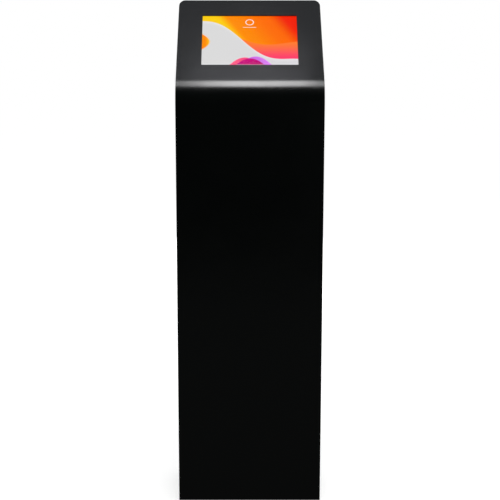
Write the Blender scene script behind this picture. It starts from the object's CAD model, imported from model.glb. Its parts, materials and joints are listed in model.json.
# A floor-standing touchscreen kiosk: a folded sheet-steel column in black powder coat, with a tablet
# behind a window in its sloping face and a lockable, vented service door at the back.
# Metres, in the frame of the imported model: +Z up, the front faces -Y, and the floor is at Z = 0.
import json
import math

import bmesh
import bpy
from mathutils import Matrix, Vector

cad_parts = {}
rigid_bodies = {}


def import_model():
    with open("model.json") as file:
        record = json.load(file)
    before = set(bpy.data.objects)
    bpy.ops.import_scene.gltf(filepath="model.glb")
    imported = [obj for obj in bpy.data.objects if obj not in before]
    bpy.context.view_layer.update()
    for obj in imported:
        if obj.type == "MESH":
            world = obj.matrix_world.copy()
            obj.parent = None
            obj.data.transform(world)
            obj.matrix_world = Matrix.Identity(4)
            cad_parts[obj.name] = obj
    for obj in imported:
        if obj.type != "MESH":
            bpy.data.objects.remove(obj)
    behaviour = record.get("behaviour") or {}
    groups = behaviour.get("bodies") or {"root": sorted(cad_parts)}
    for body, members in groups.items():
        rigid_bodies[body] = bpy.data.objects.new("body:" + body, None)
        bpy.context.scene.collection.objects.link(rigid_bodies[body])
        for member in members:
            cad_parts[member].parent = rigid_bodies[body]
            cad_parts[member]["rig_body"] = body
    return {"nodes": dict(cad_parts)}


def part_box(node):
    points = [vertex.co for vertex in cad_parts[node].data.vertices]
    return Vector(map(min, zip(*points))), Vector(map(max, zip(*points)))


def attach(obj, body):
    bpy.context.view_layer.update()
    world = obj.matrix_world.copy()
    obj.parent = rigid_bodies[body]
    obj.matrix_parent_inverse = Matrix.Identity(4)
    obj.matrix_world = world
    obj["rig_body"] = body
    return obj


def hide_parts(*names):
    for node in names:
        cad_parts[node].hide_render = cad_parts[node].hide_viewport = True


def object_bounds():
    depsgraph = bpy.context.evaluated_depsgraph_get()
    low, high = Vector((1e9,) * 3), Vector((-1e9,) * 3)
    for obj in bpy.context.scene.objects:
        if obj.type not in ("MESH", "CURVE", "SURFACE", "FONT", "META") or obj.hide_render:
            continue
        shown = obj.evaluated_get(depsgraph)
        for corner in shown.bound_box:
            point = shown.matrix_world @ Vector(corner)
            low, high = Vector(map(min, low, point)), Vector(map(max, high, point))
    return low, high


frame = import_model()
cad_low, cad_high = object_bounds()

# ---- The view ----
# Seen by someone who stands some 2.4 m in front of the kiosk with their eyes a little below its
# top edge, through a long lens tipped down towards the foot of the column.
eye_distance = 2.4269               # in front of the kiosk's front
eye_drop = 0.0767                   # below its top edge
eye_left = 0.0169                   # of its middle
look_down = math.radians(10.616)
scene = bpy.context.scene
scene.view_settings.view_transform = "Standard"
eye = bpy.data.cameras.new("eye")
eye.lens = 82.59
eye.sensor_width = 36
eye.shift_x = 0.016
camera = bpy.data.objects.new("camera", eye)
camera.location = (-eye_left, cad_low.y - eye_distance, cad_high.z - eye_drop)
camera.rotation_euler = (math.pi / 2 - look_down, 0, 0)
scene.collection.objects.link(camera)
scene.camera = camera


# ---- The studio ----
# White all round, over a glowing white floor. A soft box with a dim halo hangs in front of the kiosk
# and lights its bend, low panels stand for the light that comes back off the floor, and a ceiling
# and boxes round the sides and the back draw the edges of the dark panels.
floor_reach = 40


def linear(code):
    """Turns an sRGB hex colour into a linear colour."""
    shares = [int(code[i:i + 2], 16) / 255 for i in (1, 3, 5)]
    return [s / 12.92 if s <= 0.04045 else ((s + 0.055) / 1.055) ** 2.4 for s in shares] + [1]


def finish(name, colour, roughness, metallic=0.0, **constants):
    """Starts a material whose shader has these constants."""
    made = bpy.data.materials.new(name)
    made.use_nodes = True
    shader = made.node_tree.nodes["Principled BSDF"]
    shader.inputs["Base Color"].default_value = linear(colour)
    shader.inputs["Roughness"].default_value = roughness
    shader.inputs["Metallic"].default_value = metallic
    for socket, value in constants.items():
        shader.inputs[socket.replace("_", " ")].default_value = value
    return made


def drive(material, **sources):
    """Lets the outputs of nodes drive these sockets of a material's shader."""
    shader = material.node_tree.nodes["Principled BSDF"]
    for socket, source in sources.items():
        material.node_tree.links.new(source, shader.inputs[socket.replace("_", " ")])


def add(material, kind, links, **settings):
    """Adds a node to a material with its settings. Its links are its inputs' sources or values."""
    made = material.node_tree.nodes.new(kind)
    for setting, value in settings.items():
        setattr(made, setting, value)
    for socket, source in links.items():
        if isinstance(source, bpy.types.NodeSocket):
            material.node_tree.links.new(source, made.inputs[socket])
        else:
            made.inputs[socket].default_value = source
    return made


# the white surround is only seen, and lights nothing
world = bpy.data.worlds.new("white_studio")
world.use_nodes = True
world.node_tree.nodes["Background"].inputs["Color"].default_value = (1, 1, 1, 1)
for ray in ("diffuse", "glossy", "transmission", "scatter"):
    setattr(world.cycles_visibility, ray, False)
scene.world = world

# White emulsion on a studio floor. Its glow fades towards the kiosk, so that a soft shadow lies
# round the foot.
floor_paint = finish("white_studio_emulsion", "#F2F2F0", 0.9, Emission_Strength=1.0)
place = add(floor_paint, "ShaderNodeTexCoord", {})
from_foot = add(floor_paint, "ShaderNodeVectorMath", {0: place.outputs["Object"]},
                operation="LENGTH")
glow = add(floor_paint, "ShaderNodeMapRange",
           {"Value": from_foot.outputs["Value"], "From Min": 0.4, "From Max": 2.4, "To Min": 0.73,
            "To Max": 1.0})
drive(floor_paint, Emission_Color=glow.outputs[0])
floor_mesh = bpy.data.meshes.new("floor")
solid = bmesh.new()
bmesh.ops.create_grid(solid, x_segments=1, y_segments=1, size=floor_reach)
solid.to_mesh(floor_mesh)
solid.free()
floor = bpy.data.objects.new("floor", floor_mesh)
floor.data.materials.append(floor_paint)
floor.visible_glossy = False
floor.visible_diffuse = False
scene.collection.objects.link(floor)

# each light's name, place, the point it faces, its width and height, its brightness and its colour
for name, spot, aim, size, radiance, colour in (
        ("key_box", (0.035, -0.74, 3.0), (0.035, -0.74, 0), (0.5, 0.87), 14.0, "#FEFEFF"),
        ("key_halo", (0.0, -0.1, 3.0), (0.0, -0.1, 0), (0.48, 0.38), 1.45, "#F4F5FF"),
        ("ceiling", (0, 0.85, 3.1), (0, 0.85, 0), (2.6, 1.6), 0.41, "#F4F5FF"),
        ("front_bounce", (0.2, -1.47, 0.004), (0.2, -1.47, 1), (3.0, 2.72), 0.055, "#FFFFFF"),
        ("right_glow", (1.1, -4.4, 0.9), (0, 0, 0.7), (1.2, 1.8), 0.05, "#FFFFFF"),
        ("rear_box", (0.3, 3.2, 1.1), (0, 0, 0.8), (2.2, 1.8), 3.0, "#FFFFFF"),
        ("rear_left_box", (-2.4, 2.4, 1.3), (0, 0, 0.7), (1.6, 2.2), 1.0, "#FFFFFF"),
        ("rear_right_box", (2.4, 2.4, 1.3), (0, 0, 0.7), (1.6, 2.2), 1.6, "#FFFFFF"),
        ("front_left_box", (-2.6, -2.2, 1.3), (0, 0, 0.7), (1.2, 2.2), 0.8, "#FFFFFF"),
        ("front_right_box", (2.6, -2.2, 1.3), (0, 0, 0.7), (1.2, 2.2), 1.2, "#FFFFFF"),
        ("rear_bounce", (0, 2.4, 0.004), (0, 2.4, 1), (6.0, 4.2), 0.45, "#FFFFFF"),
        ("left_bounce", (-2.2, -1.3, 0.004), (-2.2, -1.3, 1), (2.6, 3.0), 0.35, "#FFFFFF"),
        ("right_bounce", (2.2, -1.3, 0.004), (2.2, -1.3, 1), (2.6, 3.0), 0.45, "#FFFFFF")):
    light = bpy.data.lights.new(name, "AREA")
    light.shape = "RECTANGLE"
    light.size, light.size_y = size
    light.color = linear(colour)[:3]
    light.energy = radiance * math.pi * size[0] * size[1]
    lamp = bpy.data.objects.new(name, light)
    lamp.location = spot
    lamp.rotation_euler = (Vector(aim) - Vector(spot)).to_track_quat("-Z", "Y").to_euler()
    lamp.visible_camera = False
    scene.collection.objects.link(lamp)

# ---- Front panel ----
# One sheet of 2 mm mild steel, laser cut with the screen's window, rolled to a 75 mm bend between
# the upright front and the slope, and powder coated. Welded studs behind it hold it to the sides.
sheet = 0.002
seam = 0.0002                       # left between sheets for the coating
slope = math.radians(42.5)
bend_r = 0.075
corner_r = 0.014                    # upright corners at the rear
window = (0.2078, 0.1559)
window_low = 0.076                  # up the slope, from where it meets the front
window_r = 0.0012
overrun = 0.01                      # drawn past the place where a sheet is cut off
strap_half = 0.121
strap_gap = 0.0025                  # above the door frame
strap_top = 0.0025                  # below the slope's outer face, in the thickness of its sheet
front_low, front_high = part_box("front_panel")
half_w = front_high.x
y_front, y_rear = front_low.y, front_high.y
foot_z = front_low.z
slope_len = (y_rear - y_front) / math.cos(slope)
up_slope = Vector((0, math.cos(slope), math.sin(slope)))
off_slope = Vector((0, -math.sin(slope), math.cos(slope)))
meet = Vector((0, y_front, front_high.z - (y_rear - y_front) * math.tan(slope)))
bend_t = bend_r * math.tan((math.pi / 2 - slope) / 2)
bend_centre = Vector((0, y_front + bend_r, meet.z - bend_t))


def grow(solid, edges, move):
    """Folds a sheet on from some edges, and returns its new edges."""
    geom = bmesh.ops.extrude_edge_only(solid, edges=edges)["geom"]
    fresh = {g for g in geom if isinstance(g, bmesh.types.BMVert)}
    bmesh.ops.translate(solid, verts=list(fresh), vec=move)
    return [e for e in solid.edges if set(e.verts) <= fresh]


def score(solid, point, normal):
    """Draws the line in which a plane cuts a sheet."""
    bmesh.ops.bisect_plane(solid, geom=solid.verts[:] + solid.edges[:] + solid.faces[:],
                           dist=1e-6, plane_co=point, plane_no=normal)


def trim(solid, point, normal):
    """Cuts a closed solid off at a plane, on the side that the normal points to."""
    cut = bmesh.ops.bisect_plane(solid, geom=solid.verts[:] + solid.edges[:] + solid.faces[:],
                                 dist=1e-6, plane_co=point, plane_no=normal, clear_outer=True)
    rim = [g for g in cut["geom_cut"] if isinstance(g, bmesh.types.BMEdge)]
    bmesh.ops.holes_fill(solid, edges=rim, sides=0)


def thicken(solid, outward, shown=None):
    """Turns a sheet so that its largest or given face looks outward, and thickens it behind."""
    if shown is None:
        shown = max(solid.faces, key=lambda face: face.calc_area())
    bmesh.ops.recalc_face_normals(solid, faces=solid.faces[:])
    if shown.normal.dot(Vector(outward)) < 0:
        bmesh.ops.reverse_faces(solid, faces=solid.faces[:])
    bmesh.ops.solidify(solid, geom=solid.faces[:], thickness=sheet)


def block(solid, low, high, turn=Matrix()):
    """Adds a box to a solid, given by two corners, turned and moved by a matrix."""
    low, high = Vector(low), Vector(high)
    filled = Matrix.Translation((low + high) / 2) @ Matrix.Diagonal((*(high - low), 1))
    bmesh.ops.create_cube(solid, size=1, matrix=turn @ filled)


def piece(name, node, solid, material, edge, segments=2):
    """Makes a bmesh into a piece that stands for a node, with its sharp edges rounded."""
    data = bpy.data.meshes.new(name)
    solid.to_mesh(data)
    solid.free()
    data.polygons.foreach_set("use_smooth", [True] * len(data.polygons))
    data.materials.append(material)
    made = bpy.data.objects.new(name, data)
    scene.collection.objects.link(made)
    sharp = math.radians(35)
    if edge:
        rounding = made.modifiers.new("rounding", "BEVEL")
        rounding.width, rounding.segments = edge, segments
        rounding.limit_method, rounding.angle_limit = "ANGLE", sharp
        flats = made.modifiers.new("flats", "WEIGHTED_NORMAL")
        flats.weight = 100
    else:
        data.set_sharp_from_angle(angle=sharp)
    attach(made, frame["nodes"][node]["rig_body"])
    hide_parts(node)


# Polyester powder coat over steel, sprayed as dust and baked: satin black, with an orange peel drawn
# about 2.5 mm across so that it shows, the slow waviness of a rolled sheet some 80 mm from crest to
# crest, an unevenness of gloss from the gun, and a trace of settled dust.
powder_coat = finish("black_polyester_powder_coat", "#0F1211", 0.2, IOR=1.5)
place = add(powder_coat, "ShaderNodeTexCoord", {})
rolled = add(powder_coat, "ShaderNodeTexNoise",
             {"Vector": place.outputs["Object"], "Scale": 12.0, "Detail": 1.0})
waviness = add(powder_coat, "ShaderNodeBump",
               {"Height": rolled.outputs[0], "Distance": 0.0007, "Strength": 1.0})
peel = add(powder_coat, "ShaderNodeTexNoise",
           {"Vector": place.outputs["Object"], "Scale": 400.0, "Detail": 2.0, "Roughness": 0.55})
relief = add(powder_coat, "ShaderNodeBump",
             {"Height": peel.outputs[0], "Distance": 0.00005, "Strength": 0.5,
              "Normal": waviness.outputs["Normal"]})
passes = add(powder_coat, "ShaderNodeTexNoise",
             {"Vector": place.outputs["Object"], "Scale": 9.0, "Detail": 3.0})
gloss = add(powder_coat, "ShaderNodeMapRange",
            {"Value": passes.outputs[0], "From Min": 0.3, "From Max": 0.7, "To Min": 0.18,
             "To Max": 0.24})
dust = add(powder_coat, "ShaderNodeTexNoise",
           {"Vector": place.outputs["Object"], "Scale": 420.0, "Detail": 4.0, "Roughness": 0.7})
specks = add(powder_coat, "ShaderNodeMapRange",
             {"Value": dust.outputs[0], "From Min": 0.55, "From Max": 0.8})
tone = add(powder_coat, "ShaderNodeMix",
           {"Factor": specks.outputs[0], 6: linear("#0D1110"), 7: linear("#1C201E")},
           data_type="RGBA")
drive(powder_coat, Base_Color=tone.outputs[2], Roughness=gloss.outputs[0],
      Normal=relief.outputs["Normal"])

solid = bmesh.new()
ends = [solid.verts.new((side * half_w, y_front, foot_z)) for side in (-1, 1)]
top = grow(solid, [solid.edges.new(ends)], (0, 0, bend_centre.z - foot_z))
bent = bmesh.ops.spin(solid, geom=top + list(top[0].verts), cent=bend_centre, axis=(1, 0, 0),
                      angle=slope - math.pi / 2, steps=32)["geom_last"]
grow(solid, [g for g in bent if isinstance(g, bmesh.types.BMEdge)],
     up_slope * (slope_len - bend_t + overrun))
for side in (-1, 1):
    score(solid, (side * window[0] / 2, 0, 0), (1, 0, 0))
for edge_up in (window_low, window_low + window[1]):
    score(solid, meet + up_slope * edge_up, up_slope)
middle = meet + up_slope * (window_low + window[1] / 2)
cell = [f for f in solid.faces if (f.calc_center_median() - middle).length < 0.01]
corners = list(cell[0].verts)
bmesh.ops.delete(solid, geom=cell, context="FACES")
bmesh.ops.bevel(solid, geom=corners, offset=window_r, affect="VERTICES", segments=4, profile=0.5,
                material=-1)
thicken(solid, (0, -1, 0))
trim(solid, (0, y_rear, 0), (0, 1, 0))
for side in (-1, 1):
    for step in range(1, 9):
        angle = math.radians(10 * step)
        out = Vector((side * math.cos(angle), math.sin(angle), 0))
        trim(solid, Vector((side * (half_w - corner_r), y_rear - corner_r, 0)) + out * corner_r, out)
# the welded strap that the top of the rear frame is screwed to
strap_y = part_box("rear_frame")[0].y
block(solid, (-strap_half, strap_y - sheet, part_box("door_frame")[1].z + strap_gap),
      (strap_half, strap_y, meet.z + (strap_y - sheet - y_front) * math.tan(slope) - strap_top))
bmesh.ops.recalc_face_normals(solid, faces=solid.faces[:])
piece("front_panel_sheet", "front_panel", solid, powder_coat, 0.0005)

# ---- Side panels ----
# Two mirrored sheets of the same steel, each folded to a flange behind the front, a round rear
# corner and a rear return, with welded flanges that bolt to the slope and to the base plate.
flange_w = 0.015                    # behind the front and the slope
return_w = 0.028                    # at the rear, measured from the outside
base_flange_w = 0.025
wall_x = half_w - sheet
base_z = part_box("base_plate")[1].z
inner_front = y_front + sheet + seam
# the front flange leaves room for the bend and for the angle behind the foot of the front
flange_low, flange_high = base_z + 0.03, bend_centre.z - 0.015
slope_flange = (bend_t + 0.008, slope_len - 0.03)
base_flange = (y_front + 0.014, y_rear - 0.028)
for side, name in ((-1, "left_side_panel"), (1, "right_side_panel")):
    solid = bmesh.new()
    points = [(wall_x - flange_w, inner_front), (half_w, inner_front),
              (half_w, y_rear - corner_r)]
    path = [solid.verts.new((x, y, foot_z)) for x, y in points]
    for pair in zip(path, path[1:]):
        solid.edges.new(pair)
    bent = bmesh.ops.spin(solid, geom=[path[-1]], cent=(half_w - corner_r, y_rear - corner_r, foot_z),
                          axis=(0, 0, 1), angle=math.pi / 2, steps=10)["geom_last"]
    last = next(g for g in bent if isinstance(g, bmesh.types.BMVert))
    tip = solid.verts.new((half_w - return_w, y_rear, foot_z))
    solid.edges.new((last, tip))
    bmesh.ops.remove_doubles(solid, verts=solid.verts[:], dist=1e-6)
    grow(solid, solid.edges[:], (0, 0, cad_high.z))
    for z in (flange_low, flange_high):
        score(solid, (0, 0, z), (0, 0, 1))
    spare = [f for f in solid.faces
             if f.calc_center_median().y < inner_front + 0.001 and f.calc_center_median().x < wall_x
             and not flange_low < f.calc_center_median().z < flange_high]
    bmesh.ops.delete(solid, geom=spare, context="FACES")
    thicken(solid, (1, 0, 0))
    for step in range(17):
        angle = (math.pi / 2 - slope) * step / 16
        out = Vector((0, -math.cos(angle), math.sin(angle)))
        trim(solid, bend_centre + out * (bend_r - sheet - seam), out)
    on_slope = Matrix.Translation(meet) @ Matrix.Rotation(slope, 4, "X")
    block(solid, (wall_x - flange_w, slope_flange[0], -2 * sheet - seam),
          (wall_x + sheet / 2, slope_flange[1], -sheet - seam), on_slope)
    block(solid, (wall_x - base_flange_w, base_flange[0], base_z),
          (wall_x + sheet / 2, base_flange[1], base_z + sheet))
    bmesh.ops.scale(solid, vec=(side, 1, 1), verts=solid.verts[:])
    bmesh.ops.recalc_face_normals(solid, faces=solid.faces[:])
    piece(name + "_sheet", name, solid, powder_coat, 0.0005)

# ---- Rear frame and door frame ----
# A flat laser-cut plate bolted between the side panels' returns, and behind its opening a welded
# frame of folded angle with the lip that the door closes on. Both are powder coated.
opening_r = 0.0015
inlet_gap = 0.0012                  # round the boot, in the hole that the inlet goes through
lip_w = 0.01                        # from the opening's edge inwards
frame_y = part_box("rear_frame")[1].y
frame_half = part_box("rear_frame")[1].x
lip_low, lip_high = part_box("door_frame")
open_x = lip_high.x - sheet
open_low, open_high = lip_low.z + sheet, lip_high.z - sheet
boot_low, boot_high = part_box("inlet_boot")


def rectangle(solid, low, high, y):
    """Adds an upright sheet that faces back, between two corners in X and Z."""
    corners = [(low[0], low[1]), (low[0], high[1]), (high[0], high[1]), (high[0], low[1])]
    return solid.faces.new([solid.verts.new((x, y, z)) for x, z in corners])


def punch(solid, low, high, radius=0.0):
    """Cuts a rectangle with round corners out of an upright sheet."""
    for value in (low[0], high[0]):
        score(solid, (value, 0, 0), (1, 0, 0))
    for value in (low[1], high[1]):
        score(solid, (0, 0, value), (0, 0, 1))
    spare = [f for f in solid.faces
             if low[0] < f.calc_center_median().x < high[0]
             and low[1] < f.calc_center_median().z < high[1]]
    corners = [v for v in {v for f in spare for v in f.verts}
               if min(abs(v.co.x - x) for x in (low[0], high[0])) < 1e-6
               and min(abs(v.co.z - z) for z in (low[1], high[1])) < 1e-6]
    bmesh.ops.delete(solid, geom=spare, context="FACES")
    if radius:
        bmesh.ops.bevel(solid, geom=corners, offset=radius, affect="VERTICES", segments=4,
                        profile=0.5, material=-1)


solid = bmesh.new()
rectangle(solid, (-frame_half, foot_z), (frame_half, cad_high.z + overrun), frame_y)
punch(solid, (-open_x, open_low), (open_x, open_high), opening_r)
punch(solid, (boot_low.x - inlet_gap, boot_low.z - inlet_gap),
      (boot_high.x + inlet_gap, boot_high.z + inlet_gap))
thicken(solid, (0, 1, 0))
trim(solid, meet - off_slope * (sheet + seam), off_slope)
bmesh.ops.recalc_face_normals(solid, faces=solid.faces[:])
piece("rear_frame_sheet", "rear_frame", solid, powder_coat, 0.0004)

solid = bmesh.new()
mouth = rectangle(solid, (-open_x, open_low), (open_x, open_high), frame_y - sheet)
rim = list(mouth.edges)
bmesh.ops.delete(solid, geom=[mouth], context="FACES_ONLY")
fold = grow(solid, rim, (0, lip_low.y + sheet - (frame_y - sheet), 0))
lip = grow(solid, fold, (0, 0, 0))
centre_z = (open_low + open_high) / 2
bmesh.ops.scale(solid, vec=(1 - lip_w / open_x, 1, 1 - 2 * lip_w / (open_high - open_low)),
                space=Matrix.Translation((0, 0, -centre_z)),
                verts=list({v for e in lip for v in e.verts}))
thicken(solid, (-1, 0, 0), max(solid.faces, key=lambda face: face.calc_center_median().x))
bmesh.ops.recalc_face_normals(solid, faces=solid.faces[:])
piece("door_frame_angle", "door_frame", solid, powder_coat, 0.0004)

# ---- Rear door ----
# A powder-coated tray of the same sheet, with its edges folded forwards and two banks of punched
# vent slots. Three hinges carry it, and a cam lock holds it shut.
bank_inset = 0.15                   # from the ends of the opening to the middle of a bank
vent_pitch = 0.009
vent_half = Vector((0.045, 0.0018))
vent_r = 0.00178                    # a hair under half a slot's height
door_low, door_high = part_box("rear_door")
solid = bmesh.new()
rectangle(solid, (door_low.x, door_low.z), (door_high.x, door_high.z), frame_y)
for bank_z in (open_low + bank_inset, open_high - bank_inset):
    for row in range(-3, 4):
        vent = Vector((0, bank_z + row * vent_pitch))
        punch(solid, vent - vent_half, vent + vent_half, vent_r)
rim = [e for e in solid.edges if e.is_boundary
       and all(min(v.co.x - door_low.x, door_high.x - v.co.x, v.co.z - door_low.z,
                   door_high.z - v.co.z) < 1e-6 for v in e.verts)]
grow(solid, rim, (0, door_low.y - frame_y, 0))
thicken(solid, (0, 1, 0))
bmesh.ops.recalc_face_normals(solid, faces=solid.faces[:])
piece("rear_door_sheet", "rear_door", solid, powder_coat, 0.0006)

# ---- Base ----
# A 10 mm steel plate with holes for four floor anchors, a rubber grommet round its cable
# way, moulded rubber pads under its corners, and a zinc-plated angle behind the foot of the front.
def softened(node, material, edge, segments=2):
    """Makes a merged copy of a node's own shape into its piece, with its edges rounded."""
    solid = bmesh.new()
    solid.from_mesh(frame["nodes"][node].data)
    bmesh.ops.remove_doubles(solid, verts=solid.verts[:], dist=1e-6)
    bmesh.ops.dissolve_limit(solid, angle_limit=math.radians(0.5), verts=solid.verts[:],
                             edges=solid.edges[:], delimit={"NORMAL"})
    piece(node + "_finished", node, solid, material, edge, segments)


# Moulded rubber: dull near-black, with a fine matte skin from the mould and a slightly chalky bloom.
rubber = finish("black_moulded_rubber", "#1B1B1C", 0.72, IOR=1.52)
place = add(rubber, "ShaderNodeTexCoord", {})
bloom = add(rubber, "ShaderNodeTexNoise",
            {"Vector": place.outputs["Object"], "Scale": 60.0, "Detail": 5.0})
tone = add(rubber, "ShaderNodeMix",
           {"Factor": bloom.outputs[0], 6: linear("#161617"), 7: linear("#262626")},
           data_type="RGBA")
skin = add(rubber, "ShaderNodeTexNoise",
           {"Vector": place.outputs["Object"], "Scale": 1800.0, "Detail": 2.0})
relief = add(rubber, "ShaderNodeBump",
             {"Height": skin.outputs[0], "Distance": 0.00003, "Strength": 0.6})
drive(rubber, Base_Color=tone.outputs[2], Normal=relief.outputs["Normal"])

# Bright zinc plate on cold-rolled steel: silver with a faint blue and straw cast that drifts over
# some 30 mm, and fine rolling lines about 0.4 mm apart.
zinc = finish("bright_zinc_plated_steel", "#C2C6CA", 0.3, 1.0)
place = add(zinc, "ShaderNodeTexCoord", {})
cast = add(zinc, "ShaderNodeTexNoise",
           {"Vector": place.outputs["Object"], "Scale": 34.0, "Detail": 2.0})
tone = add(zinc, "ShaderNodeMix",
           {"Factor": cast.outputs[0], 6: linear("#B4BCC6"), 7: linear("#D0CDC2")},
           data_type="RGBA")
stretched = add(zinc, "ShaderNodeMapping",
                {"Vector": place.outputs["Object"], "Scale": (60, 900, 2500)})
rolling = add(zinc, "ShaderNodeTexNoise",
              {"Vector": stretched.outputs["Vector"], "Scale": 1.0, "Detail": 3.0})
relief = add(zinc, "ShaderNodeBump",
             {"Height": rolling.outputs[0], "Distance": 0.00002, "Strength": 0.4})
haze = add(zinc, "ShaderNodeMapRange",
           {"Value": rolling.outputs[0], "From Min": 0.3, "From Max": 0.7, "To Min": 0.24,
            "To Max": 0.4})
drive(zinc, Base_Color=tone.outputs[2], Roughness=haze.outputs[0], Normal=relief.outputs["Normal"])

softened("base_plate", powder_coat, 0.0006)
softened("front_base_angle", zinc, 0.0005)
softened("floor_grommet", rubber, 0.0006, 3)
for corner in ("front_left", "front_right", "rear_left", "rear_right"):
    softened("foot_pad_" + corner, rubber, 0.0005, 3)

# ---- Fasteners ----
# Weld studs with hexagon nuts hold the front to the side panels and the base angle. Button-head
# socket screws, coated black where they show at the back, hold the rear frame and the base.
softened("panel_studs", zinc, 0.0003)
softened("panel_nuts", zinc, 0.0003)
softened("base_screws", zinc, 0.0004)
softened("rear_frame_screws", powder_coat, 0.0005, 3)

# ---- Door seal, hinges and lock ----
# A strip of black closed-cell foam is stuck to the lip. Three butt hinges with steel pins carry the
# door, and a cam lock with a nickel-plated barrel turns a plated cam behind the lip.

# Closed-cell neoprene foam: dead matte charcoal, pitted with cut cells about 0.7 mm across.
foam = finish("black_neoprene_foam", "#1D1D1E", 0.95, IOR=1.45)
place = add(foam, "ShaderNodeTexCoord", {})
cells = add(foam, "ShaderNodeTexVoronoi", {"Vector": place.outputs["Object"], "Scale": 1400.0})
pores = add(foam, "ShaderNodeMapRange",
            {"Value": cells.outputs["Distance"], "From Min": 0.1, "From Max": 0.6})
tone = add(foam, "ShaderNodeMix",
           {"Factor": pores.outputs[0], 6: linear("#111112"), 7: linear("#262627")},
           data_type="RGBA")
relief = add(foam, "ShaderNodeBump",
             {"Height": cells.outputs["Distance"], "Distance": 0.00012, "Strength": 0.7})
drive(foam, Base_Color=tone.outputs[2], Normal=relief.outputs["Normal"])

softened("door_seal", foam, 0.0006)
for level in ("lower", "middle", "upper"):
    softened("hinge_frame_leaf_" + level, powder_coat, 0.0004)
    softened("hinge_door_leaf_" + level, powder_coat, 0.0004)
    softened("hinge_pin_" + level, zinc, 0.0004)
softened("hinge_frame_screws", zinc, 0.0003)
softened("hinge_door_screws", zinc, 0.0003)

# Nickel plate on turned brass: warm silver, satin, with turning rings about 0.5 mm apart round the
# lock's axis.
lock_low, lock_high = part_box("lock_barrel")
nickel = finish("nickel_plated_turned_brass", "#C9C4BA", 0.22, 1.0)
place = add(nickel, "ShaderNodeTexCoord", {})
centred = add(nickel, "ShaderNodeMapping",
              {"Vector": place.outputs["Object"],
               "Location": [-c for c in (lock_low + lock_high) / 2]})
rings = add(nickel, "ShaderNodeTexWave",
            {"Vector": centred.outputs["Vector"], "Scale": 640.0, "Distortion": 0.6},
            wave_type="RINGS", rings_direction="Y")
relief = add(nickel, "ShaderNodeBump",
             {"Height": rings.outputs[0], "Distance": 0.00002, "Strength": 0.35})
smear = add(nickel, "ShaderNodeTexNoise",
            {"Vector": place.outputs["Object"], "Scale": 220.0, "Detail": 3.0})
haze = add(nickel, "ShaderNodeMapRange",
           {"Value": smear.outputs[0], "From Min": 0.3, "From Max": 0.7, "To Min": 0.16,
            "To Max": 0.3})
drive(nickel, Roughness=haze.outputs[0], Normal=relief.outputs["Normal"])

softened("lock_barrel", nickel, 0.0004, 3)
softened("lock_plug", nickel, 0.0002)
softened("lock_nut", zinc, 0.0004)
softened("lock_cam", zinc, 0.0003)
softened("lock_cam_screw", zinc, 0.0003)

# ---- Mains inlet ----
# A moulded nylon inlet with three plated blades and a red rocker switch, screwed to the rear frame
# from outside, and a moulded boot over its tags inside.

# Glass-filled nylon: charcoal, with a spark-eroded grain about 0.5 mm across.
nylon = finish("black_glass_filled_nylon", "#1E1E20", 0.5, IOR=1.53)
place = add(nylon, "ShaderNodeTexCoord", {})
erosion = add(nylon, "ShaderNodeTexNoise",
              {"Vector": place.outputs["Object"], "Scale": 2000.0, "Detail": 3.0})
relief = add(nylon, "ShaderNodeBump",
             {"Height": erosion.outputs[0], "Distance": 0.00004, "Strength": 0.5})
fibre = add(nylon, "ShaderNodeTexNoise",
            {"Vector": place.outputs["Object"], "Scale": 160.0, "Detail": 4.0})
haze = add(nylon, "ShaderNodeMapRange",
           {"Value": fibre.outputs[0], "From Min": 0.3, "From Max": 0.7, "To Min": 0.42,
            "To Max": 0.58})
drive(nylon, Roughness=haze.outputs[0], Normal=relief.outputs["Normal"])

# Polycarbonate, moulded and polished: deep signal red with a little depth under its gloss.
red_plastic = finish("red_moulded_polycarbonate", "#A3211A", 0.18, IOR=1.585,
                     Subsurface_Weight=0.15, Subsurface_Scale=0.002)
place = add(red_plastic, "ShaderNodeTexCoord", {})
swirl = add(red_plastic, "ShaderNodeTexNoise",
            {"Vector": place.outputs["Object"], "Scale": 180.0, "Detail": 2.0})
tone = add(red_plastic, "ShaderNodeMix",
           {"Factor": swirl.outputs[0], 6: linear("#96190F"), 7: linear("#B02A22")},
           data_type="RGBA")
drive(red_plastic, Base_Color=tone.outputs[2])

# Nickel plate on stamped brass: bright, with drawing lines some 0.7 mm apart along each blade.
stamped = finish("nickel_plated_stamped_brass", "#CFCBC2", 0.25, 1.0)
place = add(stamped, "ShaderNodeTexCoord", {})
stretched = add(stamped, "ShaderNodeMapping",
                {"Vector": place.outputs["Object"], "Scale": (1400, 60, 1400)})
drawing = add(stamped, "ShaderNodeTexNoise",
              {"Vector": stretched.outputs["Vector"], "Scale": 1.0, "Detail": 2.0})
relief = add(stamped, "ShaderNodeBump",
             {"Height": drawing.outputs[0], "Distance": 0.00002, "Strength": 0.4})
haze = add(stamped, "ShaderNodeMapRange",
           {"Value": drawing.outputs[0], "From Min": 0.3, "From Max": 0.7, "To Min": 0.18,
            "To Max": 0.32})
drive(stamped, Roughness=haze.outputs[0], Normal=relief.outputs["Normal"])

softened("inlet_body", nylon, 0.0005)
softened("inlet_boot", nylon, 0.0006)
softened("inlet_pins", stamped, 0.0003)
softened("inlet_rocker", red_plastic, 0.0006, 3)
softened("inlet_screws", zinc, 0.0003)

# ---- Power supply and leads ----
# A moulded supply on studs inside the right-hand panel feeds the tablet through a white USB lead in
# screwed clips. A short mains lead joins it to the inlet, and an earth lead goes to the base plate.

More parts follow.
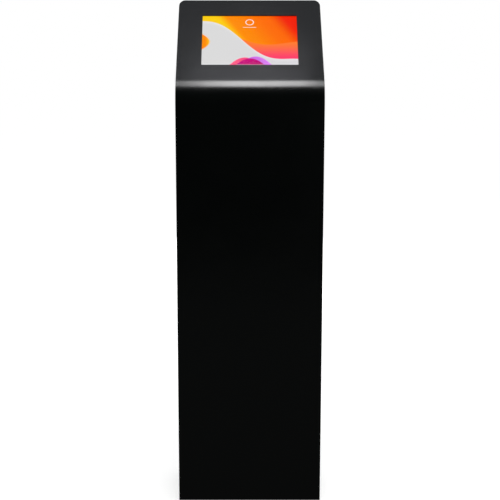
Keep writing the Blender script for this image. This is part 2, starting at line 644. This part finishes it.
# ABS, spark-eroded: soft black with an even pebble about 0.8 mm across.
housing = finish("black_moulded_abs", "#232325", 0.55, IOR=1.54)
place = add(housing, "ShaderNodeTexCoord", {})
pebble = add(housing, "ShaderNodeTexVoronoi", {"Vector": place.outputs["Object"], "Scale": 1200.0},
             feature="SMOOTH_F1")
relief = add(housing, "ShaderNodeBump",
             {"Height": pebble.outputs["Distance"], "Distance": 0.00006, "Strength": 0.5})
haze = add(housing, "ShaderNodeMapRange",
           {"Value": pebble.outputs["Distance"], "From Max": 0.6, "To Min": 0.48, "To Max": 0.62})
drive(housing, Roughness=haze.outputs[0], Normal=relief.outputs["Normal"])

softened("power_supply", housing, 0.0012, 3)
softened("supply_gland", nylon, 0.0005)
softened("earth_terminal", stamped, 0.0003)
softened("cable_clips", nylon, 0.0008, 3)

# Soft PVC and TPE, extruded: each lead has the faint drag of the die, and its own colour. The earth
# lead's yellow stripe runs along both its sides.
sheaths = {}
for name, dark, light, stripe, roughness in (
        ("black_pvc_sheath", "#151516", "#232324", None, 0.42),
        ("white_tpe_sheath", "#D6D6D2", "#E6E6E3", None, 0.38),
        ("green_pvc_insulation", "#2E7D32", "#3C913F", "#E3C52A", 0.35)):
    sheath = finish(name, dark, roughness, IOR=1.52)
    place = add(sheath, "ShaderNodeTexCoord", {})
    drag = add(sheath, "ShaderNodeTexNoise",
               {"Vector": place.outputs["Object"], "Scale": 300.0, "Detail": 3.0})
    tone = add(sheath, "ShaderNodeMix",
               {"Factor": drag.outputs[0], 6: linear(dark), 7: linear(light)}, data_type="RGBA")
    if stripe:
        facing = add(sheath, "ShaderNodeSeparateXYZ", {0: place.outputs["Normal"]})
        sideways = add(sheath, "ShaderNodeMath", {0: facing.outputs["X"]}, operation="ABSOLUTE")
        on_side = add(sheath, "ShaderNodeMath", {0: sideways.outputs[0], 1: 0.75},
                      operation="GREATER_THAN")
        tone = add(sheath, "ShaderNodeMix",
                   {"Factor": on_side.outputs[0], 6: tone.outputs[2], 7: linear(stripe)},
                   data_type="RGBA")
    relief = add(sheath, "ShaderNodeBump",
                 {"Height": drag.outputs[0], "Distance": 0.00003, "Strength": 0.4})
    drive(sheath, Base_Color=tone.outputs[2], Normal=relief.outputs["Normal"])
    sheaths[name] = sheath

softened("usb_plug_tablet", sheaths["white_tpe_sheath"], 0.0008, 3)
softened("usb_plug_supply", sheaths["white_tpe_sheath"], 0.0006, 3)


def lead(node, sheath, diameter, route):
    """Draws a round lead through the points of its route, given in millimetres."""
    line = bpy.data.curves.new(node + "_route", "CURVE")
    line.dimensions = "3D"
    line.bevel_depth, line.bevel_resolution = diameter / 2, 6
    line.use_fill_caps = True
    line.resolution_u = 10
    spline = line.splines.new("BEZIER")
    spline.bezier_points.add(len(route) - 1)
    for point, corner in zip(spline.bezier_points, route):
        point.co = Vector(corner) / 1000
        point.handle_left_type = point.handle_right_type = "AUTO"
    line.materials.append(sheath)
    made = bpy.data.objects.new(node + "_finished", line)
    scene.collection.objects.link(made)
    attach(made, "cabinet")
    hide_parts(node)


lead("mains_lead", sheaths["black_pvc_sheath"], 0.007,
     [(68.5, 58, 58), (68.5, 52, 58), (71, 43, 60), (78, 33, 65), (89, 24, 72), (102, 15, 82),
      (114, 8, 94), (125, 3, 107), (133, 0.5, 118), (137, 0, 127), (138, 0, 134), (138, 0, 146)])
lead("earth_lead", sheaths["green_pvc_insulation"], 0.0026,
     [(48, 58, 54), (48, 54, 53.5), (47, 50, 50), (46, 48, 44), (44.5, 46.5, 36), (42.5, 45, 28),
      (39.5, 43.3, 21.5), (36, 41, 18.4), (32, 38.4, 18), (29, 36.3, 18)])
lead("usb_lead", sheaths["white_tpe_sheath"], 0.004,
     [(132, 5.7, 1009), (132, 1, 1004.7), (134, -6, 998.2), (138.5, -13, 991.5),
      (144, -20, 984.5), (148, -27, 977), (150, -33.5, 969.5), (150, -38, 961), (150, -40, 950),
      (150, -40, 890), (150, -40, 780), (150, -40, 660), (150, -40, 540), (150, -40, 430),
      (150, -39.5, 390), (149, -37, 355), (147, -31, 329), (144, -22, 311), (141, -12, 298),
      (139, -4, 288), (138, 0, 279), (138, 0, 270)])

# ---- Tablet ----
# An aluminium case with a laminated display under its cover glass, seated on foam pads in a plated
# bracket that thumb screws pull up against the gasket round the window.

# Bead-blasted, anodised aluminium: even silver grey with a fine sparkle.
anodised = finish("anodised_aluminium", "#B9BCC0", 0.38, 1.0)
place = add(anodised, "ShaderNodeTexCoord", {})
blast = add(anodised, "ShaderNodeTexNoise",
            {"Vector": place.outputs["Object"], "Scale": 2600.0, "Detail": 2.0})
relief = add(anodised, "ShaderNodeBump",
             {"Height": blast.outputs[0], "Distance": 0.00002, "Strength": 0.5})
haze = add(anodised, "ShaderNodeMapRange",
           {"Value": blast.outputs[0], "From Min": 0.3, "From Max": 0.7, "To Min": 0.33,
            "To Max": 0.43})
drive(anodised, Roughness=haze.outputs[0], Normal=relief.outputs["Normal"])
softened("tablet_case", anodised, 0.0004)
softened("tablet_power_button", anodised, 0.0003)
softened("tablet_volume_rocker", anodised, 0.0003)
softened("tablet_bracket", zinc, 0.0004)
softened("tablet_standoffs", zinc, 0.0003)
softened("thumb_screws", zinc, 0.0005, 3)
softened("window_gasket", foam, 0.0003)
softened("tablet_rear_pads", foam, 0.0006)
softened("tablet_corner_guides", nylon, 0.0006, 3)

# Foil pouch: dull graphite with soft creases some 12 mm apart.
pouch = finish("battery_foil_pouch", "#33353A", 0.4, 0.6)
place = add(pouch, "ShaderNodeTexCoord", {})
crease = add(pouch, "ShaderNodeTexNoise",
             {"Vector": place.outputs["Object"], "Scale": 85.0, "Detail": 2.0, "Distortion": 0.8})
relief = add(pouch, "ShaderNodeBump",
             {"Height": crease.outputs[0], "Distance": 0.0004, "Strength": 0.6})
drive(pouch, Normal=relief.outputs["Normal"])
softened("tablet_battery", pouch, 0.0006)

# ---- Screen ----
# The lit display shows plain layered waves in warm colours. The cover glass over it is polished
# soda-lime glass whose coating against glare is drawn as a lower index, so it reflects only faintly.
ring_up = 0.88                      # share of the window's height
ring_r, ring_line = 0.0085, 0.0009
cover_glass = finish("polished_cover_glass", "#FFFFFF", 0.03, IOR=1.2, Transmission_Weight=1.0)
softened("tablet_glass", cover_glass, 0.0003)

# The display is bonded to the glass, so its own surface reflects nothing and only glows.
lit_screen = finish("lit_display_with_waves", "#050505", 0.4, Specular_IOR_Level=0.0,
                    Emission_Strength=1.0)
place = add(lit_screen, "ShaderNodeTexCoord", {})
# the picture runs from 0 to 1 across the window, and from 0 to 1 up the slope
levelled = add(lit_screen, "ShaderNodeMapping",
               {"Vector": place.outputs["Object"], "Location": -meet}, vector_type="POINT")
flat = add(lit_screen, "ShaderNodeMapping",
           {"Vector": levelled.outputs["Vector"], "Rotation": (-slope, 0, 0)})
framed = add(lit_screen, "ShaderNodeMapping",
             {"Vector": flat.outputs["Vector"],
              "Location": (0.5, -window_low / window[1], 0),
              "Scale": (1 / window[0], 1 / window[1], 1)})
axes = add(lit_screen, "ShaderNodeSeparateXYZ", {0: framed.outputs["Vector"]})
across, upward = axes.outputs["X"], axes.outputs["Y"]


def wash(amount, *colours):
    """Blends colours along an amount that goes from 0 to 1."""
    ramp = add(lit_screen, "ShaderNodeValToRGB", {"Fac": amount})
    ramp.color_ramp.interpolation = "EASE"
    for i, (stop, code) in enumerate(colours):
        element = ramp.color_ramp.elements[i] if i < 2 else ramp.color_ramp.elements.new(stop)
        element.position, element.color = stop, linear(code)
    return ramp.outputs["Color"]


slant = add(lit_screen, "ShaderNodeVectorMath", {0: framed.outputs["Vector"], 1: (0.69, 0.31, 0)},
            operation="DOT_PRODUCT")
picture = wash(slant.outputs["Value"], (0.4, "#FFD010"), (0.5, "#FF8C00"), (0.76, "#FF6C00"),
               (0.91, "#F22000"))
# Each wave lies over the last, and runs along one axis: its height at the start, its rise to the
# end, its swell, how often it repeats, its phase, the softness of its crest, and its colours,
# which are brightest along the crest.
for along, over, height, rise, swell, repeats, phase, soft, colours in (
        (across, upward, 0.63, -0.20, 0.07, 1.1, 0.3, 0.010,
         wash(upward, (0.12, "#FF3A6E"), (0.48, "#FF7A2E"))),
        (across, upward, 0.86, -0.80, 0.13, 1.05, 0.38, 0.008,
         wash(across, (0.0, "#DCDCDC"), (1.0, "#DBDADD"))),
        (across, upward, -0.15, 0.0, 0.32, 1.0, -1.25, 0.006,
         wash(across, (0.25, "#FF5F86"), (0.6, "#E8407E"))),
        (across, upward, -0.14, 0.0, 0.33, 1.0, -1.95, 0.006,
         wash(across, (0.4, "#C45ADC"), (0.75, "#DA82EE"))),
        (across, upward, -0.17, 0.0, 0.32, 1.0, -1.6, 0.006,
         wash(across, (0.3, "#8A0A7C"), (0.68, "#B4006A"), (0.45, "#C80A78"))),
        (upward, across, -0.16, 0.0, 0.25, 0.85, -1.0, 0.02,
         wash(across, (0.03, "#FF8A00"), (0.09, "#FFC414")))):
    turns = add(lit_screen, "ShaderNodeMath", {0: along, 1: repeats * 2 * math.pi, 2: phase},
                operation="MULTIPLY_ADD")
    ripple = add(lit_screen, "ShaderNodeMath", {0: turns.outputs[0]}, operation="SINE")
    ramped = add(lit_screen, "ShaderNodeMath", {0: along, 1: rise, 2: height},
                 operation="MULTIPLY_ADD")
    crest = add(lit_screen, "ShaderNodeMath", {0: ripple.outputs[0], 1: swell, 2: ramped.outputs[0]},
                operation="MULTIPLY_ADD")
    depth = add(lit_screen, "ShaderNodeMath", {0: crest.outputs[0], 1: over}, operation="SUBTRACT")
    cover = add(lit_screen, "ShaderNodeMapRange",
                {"Value": depth.outputs[0], "From Min": 0.0, "From Max": soft})
    shine = add(lit_screen, "ShaderNodeMapRange",
                {"Value": depth.outputs[0], "From Min": 0.0, "From Max": 0.07, "To Min": 1.12,
                 "To Max": 1.0})
    wave = add(lit_screen, "ShaderNodeVectorMath", {0: colours, "Scale": shine.outputs[0]},
               operation="SCALE")
    picture = add(lit_screen, "ShaderNodeMix",
                  {"Factor": cover.outputs[0], 6: picture, 7: wave.outputs[0]},
                  data_type="RGBA").outputs[2]
# a plain ring with a short bar under it near the top, and a longer bar at the bottom, all white
hub = add(lit_screen, "ShaderNodeMapping",
          {"Vector": flat.outputs["Vector"],
           "Location": (0, -window_low - ring_up * window[1], 0), "Scale": (1, 1, 0)})
off_hub = add(lit_screen, "ShaderNodeVectorMath", {0: hub.outputs["Vector"]}, operation="LENGTH")
marks = add(lit_screen, "ShaderNodeMath", {0: off_hub.outputs["Value"], 1: ring_r, 2: ring_line},
            operation="COMPARE").outputs[0]
for level, half_length, half_width in ((0.775, 0.07, 0.004), (0.022, 0.14, 0.005)):
    beside = add(lit_screen, "ShaderNodeMath", {0: across, 1: 0.5, 2: half_length},
                 operation="COMPARE")
    level_with = add(lit_screen, "ShaderNodeMath", {0: upward, 1: level, 2: half_width},
                     operation="COMPARE")
    bar = add(lit_screen, "ShaderNodeMath", {0: beside.outputs[0], 1: level_with.outputs[0]},
              operation="MULTIPLY")
    marks = add(lit_screen, "ShaderNodeMath", {0: marks, 1: bar.outputs[0]},
                operation="MAXIMUM").outputs[0]
marked = add(lit_screen, "ShaderNodeMix", {"Factor": marks, 6: picture, 7: linear("#FFF6EE")},
             data_type="RGBA")
drive(lit_screen, Emission_Color=marked.outputs[2])
softened("tablet_display", lit_screen, 0.0)
